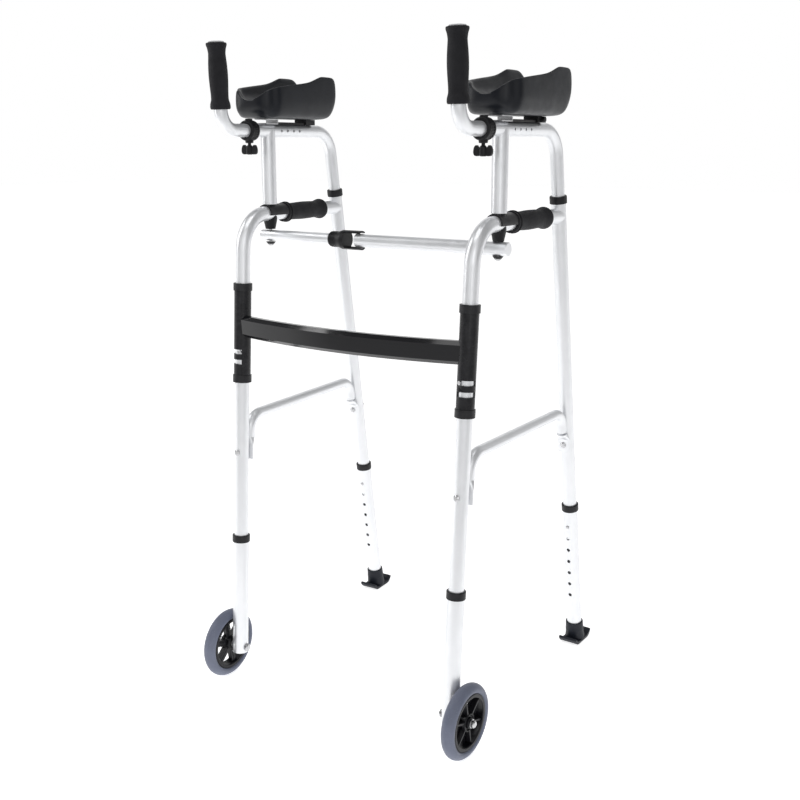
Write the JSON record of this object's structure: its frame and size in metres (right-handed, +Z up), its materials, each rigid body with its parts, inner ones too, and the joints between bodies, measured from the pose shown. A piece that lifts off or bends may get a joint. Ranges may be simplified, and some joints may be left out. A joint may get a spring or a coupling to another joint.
{
  "type": "walking frame",
  "caption": "folding walking frame with forearm platforms, bent tube side frames, fixed front wheels, rear glides and telescopic legs",
  "frame": {"origin": "on the floor under the centre of the whole frame's bounding box", "axes": "+Z up, the wheels at the front towards -Y, the user's right hand side is -X when facing the front"},
  "size_m": [0.5646, 0.5798, 1.1375],
  "materials": {
    "silver_tube": "satin anodised",
    "steel": "zinc plated",
    "foam": "fine closed-cell foam",
    "pad_cover": "self-skinned foam, satin",
    "tyre": "smooth polyurethane",
    "gloss_black": "gloss",
    "sleeve_black": "semi-gloss powder coat",
    "grey_cap": "matte",
    "rubber_foot": "satin",
    "hub_black": "satin",
    "black_plastic": "satin"
  },
  "bodies": {
    "crossbar": {"crossbeam": "gloss_black", "sleeve_tubes": "sleeve_black", "sleeve_end_caps": "black_plastic"},
    "right_frame": {"right_side_tube": "silver_tube", "right_rear_leg_tube": "silver_tube", "right_rear_top_ferrule": "black_plastic", "right_platform_tube": "silver_tube", "right_platform_post": "silver_tube", "right_post_saddle": "black_plastic", "right_bar_spacers": "black_plastic", "right_lower_brace": "silver_tube", "right_frame_bolts": "steel", "right_hand_grip": "foam", "right_snap_buttons": "steel", "right_arm_pad": "pad_cover", "right_pad_bracket": "steel", "right_clamp_ring": "black_plastic"},
    "right_front_leg": {"right_front_extension": "silver_tube", "right_front_collar": "black_plastic", "right_axle_bolt": "steel"},
    "right_wheel": {"right_tyre": "tyre", "right_wheel_hub": "hub_black"},
    "right_rear_leg": {"right_rear_extension": "silver_tube", "right_rear_collar": "black_plastic", "right_glide_foot": "rubber_foot"},
    "right_handle": {"right_handle_tube": "silver_tube", "right_handle_grip": "foam", "right_handle_cap": "grey_cap"},
    "right_screw": {"right_wing_screw": "black_plastic"},
    "right_button": {"right_fold_button": "steel"},
    "right_bar": {"right_bar_tube": "silver_tube"},
    "left_frame": {"left_side_tube": "silver_tube", "left_rear_leg_tube": "silver_tube", "left_rear_top_ferrule": "black_plastic", "left_platform_tube": "silver_tube", "left_platform_post": "silver_tube", "left_post_saddle": "black_plastic", "left_bar_spacers": "black_plastic", "left_lower_brace": "silver_tube", "left_frame_bolts": "steel", "left_hand_grip": "foam", "left_snap_buttons": "steel", "left_arm_pad": "pad_cover", "left_pad_bracket": "steel", "left_clamp_ring": "black_plastic"},
    "left_front_leg": {"left_front_extension": "silver_tube", "left_front_collar": "black_plastic", "left_axle_bolt": "steel"},
    "left_wheel": {"left_tyre": "tyre", "left_wheel_hub": "hub_black"},
    "left_rear_leg": {"left_rear_extension": "silver_tube", "left_rear_collar": "black_plastic", "left_glide_foot": "rubber_foot"},
    "left_handle": {"left_handle_tube": "silver_tube", "left_handle_grip": "foam", "left_handle_cap": "grey_cap"},
    "left_screw": {"left_wing_screw": "black_plastic"},
    "left_button": {"left_fold_button": "steel"},
    "left_bar": {"left_bar_tube": "silver_tube", "bar_coupler": "black_plastic"}
  },
  "joints": [
    {"name": "right_fold", "type": "hinge", "parent": "crossbar", "child": "right_frame", "pos_m": [0.226, -0.18537, 0.66402], "axis": [0, 0.0663, 0.9978], "range_deg": [0, 52]},
    {"name": "right_bar_swing", "type": "hinge", "parent": "right_frame", "child": "right_bar", "pos_m": [0.22872, -0.09748, 0.81502], "axis": [0, 0, -1], "range_deg": [0, 45]},
    {"name": "right_front_height", "type": "slide", "parent": "right_frame", "child": "right_front_leg", "axis": [0, 0.0663, 0.9978], "range_m": [0, 0.1016], "deforming": ["right_snap_buttons"]},
    {"name": "right_rear_height", "type": "slide", "parent": "right_frame", "child": "right_rear_leg", "axis": [-0.008, -0.1649, 0.9863], "range_m": [0, 0.1016], "deforming": ["right_snap_buttons"]},
    {"name": "right_wheel_spin", "type": "hinge", "parent": "right_front_leg", "child": "right_wheel", "pos_m": [0.25448, -0.22625, 0.06359], "axis": [0.9994, -0.0348, 0.0023], "continuous": true},
    {"name": "right_handle_reach", "type": "slide", "parent": "right_frame", "child": "right_handle", "axis": [-0.0348, -0.9994, 0], "range_m": [0, 0.04]},
    {"name": "right_screw_turn", "type": "hinge", "parent": "right_frame", "child": "right_screw", "pos_m": [0.22654, -0.14949, 0.97003], "axis": [-0.0023, 0, 1], "range_deg": [0, 180]},
    {"name": "right_button_press", "type": "slide", "parent": "right_frame", "child": "right_button", "axis": [0.3256, 0.9434, -0.0627], "range_m": [0, 0.003], "stiffness_N_per_m": 600},
    {"name": "left_fold", "type": "hinge", "parent": "crossbar", "child": "left_frame", "pos_m": [-0.226, -0.18537, 0.66402], "axis": [0, -0.0663, -0.9978], "range_deg": [0, 24]},
    {"name": "left_bar_swing", "type": "hinge", "parent": "left_frame", "child": "left_bar", "pos_m": [-0.22872, -0.09748, 0.81502], "axis": [0, 0, 1], "range_deg": [0, 45]},
    {"name": "left_front_height", "type": "slide", "parent": "left_frame", "child": "left_front_leg", "axis": [0, 0.0663, 0.9978], "range_m": [0, 0.1016], "deforming": ["left_snap_buttons"]},
    {"name": "left_rear_height", "type": "slide", "parent": "left_frame", "child": "left_rear_leg", "axis": [0.008, -0.1649, 0.9863], "range_m": [0, 0.1016], "deforming": ["left_snap_buttons"]},
    {"name": "left_wheel_spin", "type": "hinge", "parent": "left_front_leg", "child": "left_wheel", "pos_m": [-0.25448, -0.22625, 0.06359], "axis": [0.9994, 0.0348, -0.0023], "continuous": true},
    {"name": "left_handle_reach", "type": "slide", "parent": "left_frame", "child": "left_handle", "axis": [0.0348, -0.9994, 0], "range_m": [0, 0.04]},
    {"name": "left_screw_turn", "type": "hinge", "parent": "left_frame", "child": "left_screw", "pos_m": [-0.22654, -0.14949, 0.97003], "axis": [0.0023, 0, 1], "range_deg": [0, 180]},
    {"name": "left_button_press", "type": "slide", "parent": "left_frame", "child": "left_button", "axis": [-0.3256, 0.9434, -0.0627], "range_m": [0, 0.003], "stiffness_N_per_m": 600}
  ]
}
